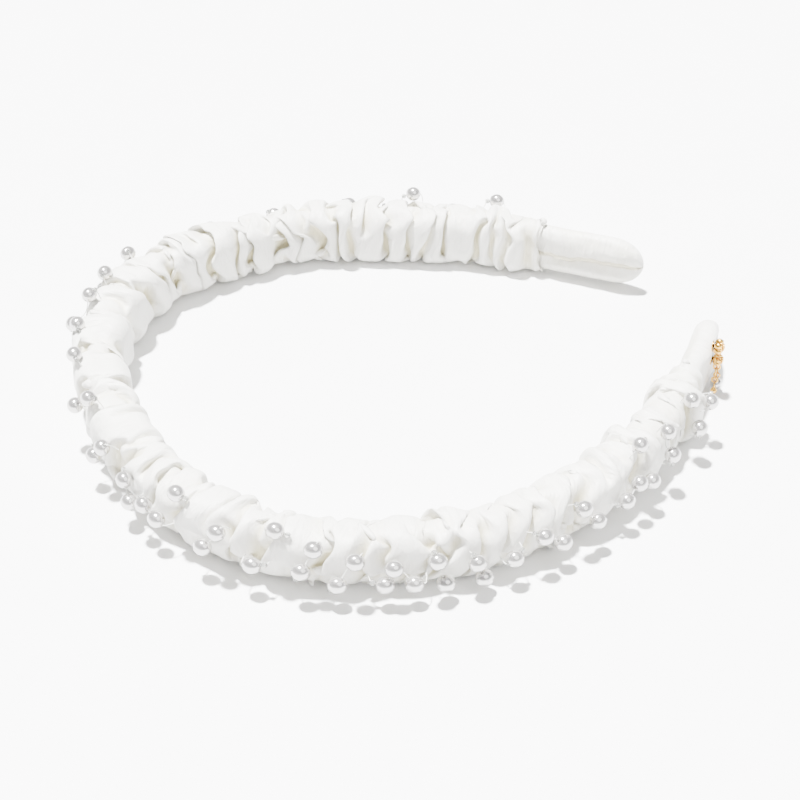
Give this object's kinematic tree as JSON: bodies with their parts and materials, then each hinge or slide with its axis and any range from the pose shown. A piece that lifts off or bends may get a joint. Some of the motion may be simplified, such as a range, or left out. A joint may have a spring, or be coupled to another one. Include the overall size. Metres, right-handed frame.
{
  "type": "headband",
  "caption": "Slim sprung headband in ruched ivory satin, with plain padded tips, sewn-on pearl beads along its outer face and a small hanging gilt charm near one tip.",
  "frame": {"origin": "middle of the bounding box at the table, with the headband lying on its edge", "axes": "+Z along the band's width, up from the table; the crown is towards -X and the two tips point to +X; the arm with the charm is on the -Y side"},
  "size_m": [0.1438, 0.145, 0.0168],
  "materials": {
    "core_plastic": "smooth translucent white spring plastic",
    "foam": "soft fibre wadding",
    "cover_satin": "ivory satin, smooth, soft sheen",
    "sleeve_satin": "ivory satin, ruched, soft sheen",
    "elastic": "fine white elastic thread",
    "pearl": "white imitation pearl, glossy lustre",
    "gold": "polished gilt"
  },
  "bodies": {
    "crown": {"core_crown": "core_plastic", "cover_crown": "cover_satin", "foam_crown": "foam", "pearls_crown_01": "pearl", "pearls_crown_02": "pearl", "pearls_crown_03": "pearl", "pearls_crown_04": "pearl", "pearls_crown_05": "pearl", "pearls_crown_06": "pearl", "pearls_crown_07": "pearl", "pearls_crown_08": "pearl", "pearls_crown_09": "pearl", "sleeve_crown": "sleeve_satin"},
    "right_arm": {"charm_plate": "gold", "charm_rosette_lower": "gold", "charm_rosette_upper": "gold", "core_right": "core_plastic", "cover_right": "cover_satin", "foam_right": "foam", "gather_elastic_right": "elastic", "pearls_right_01": "pearl", "pearls_right_02": "pearl", "pearls_right_03": "pearl", "pearls_right_04": "pearl", "pearls_right_05": "pearl", "pearls_right_06": "pearl", "pearls_right_07": "pearl", "pearls_right_08": "pearl", "pearls_right_09": "pearl", "pearls_right_10": "pearl", "pearls_right_11": "pearl", "pearls_right_12": "pearl", "pearls_right_13": "pearl", "pearls_right_14": "pearl", "pearls_right_15": "pearl", "sleeve_right": "sleeve_satin"},
    "left_arm": {"core_left": "core_plastic", "cover_left": "cover_satin", "foam_left": "foam", "gather_elastic_left": "elastic", "pearls_left_01": "pearl", "pearls_left_02": "pearl", "pearls_left_03": "pearl", "pearls_left_04": "pearl", "pearls_left_05": "pearl", "pearls_left_06": "pearl", "pearls_left_07": "pearl", "pearls_left_08": "pearl", "pearls_left_09": "pearl", "pearls_left_10": "pearl", "pearls_left_11": "pearl", "pearls_left_12": "pearl", "pearls_left_13": "pearl", "pearls_left_14": "pearl", "sleeve_left": "sleeve_satin"},
    "charm_ring": {"charm_ring": "gold"},
    "pearl_drop": {"drop_pin": "gold", "drop_pearl": "pearl"},
    "gold_bead": {"gold_bead_drop": "gold"}
  },
  "joints": [
    {"name": "right_arm_flex", "type": "hinge", "parent": "crown", "child": "right_arm", "pos_m": [-0.04924, -0.04508, 0.007], "axis": [0, 0, -1], "range_deg": [-4, 18], "stiffness_Nm_per_rad": 0.75},
    {"name": "left_arm_flex", "type": "hinge", "parent": "crown", "child": "left_arm", "pos_m": [-0.04924, 0.04512, 0.007], "axis": [0, 0, 1], "range_deg": [-4, 18], "stiffness_Nm_per_rad": 0.75},
    {"name": "charm_ring_swing", "type": "hinge", "parent": "right_arm", "child": "charm_ring", "pos_m": [0.06506, -0.02876, 0.007], "axis": [0.7219, -0.692, 0], "range_deg": [-40, 40]},
    {"name": "pearl_drop_swing", "type": "hinge", "parent": "charm_ring", "child": "pearl_drop", "pos_m": [0.06577, -0.02802, 0.00417], "axis": [-0.692, -0.7219, 0], "range_deg": [0, 60]},
    {"name": "gold_bead_swing", "type": "hinge", "parent": "charm_ring", "child": "gold_bead", "pos_m": [0.06435, -0.02951, 0.00417], "axis": [-0.692, -0.7219, 0], "range_deg": [0, 60]}
  ]
}
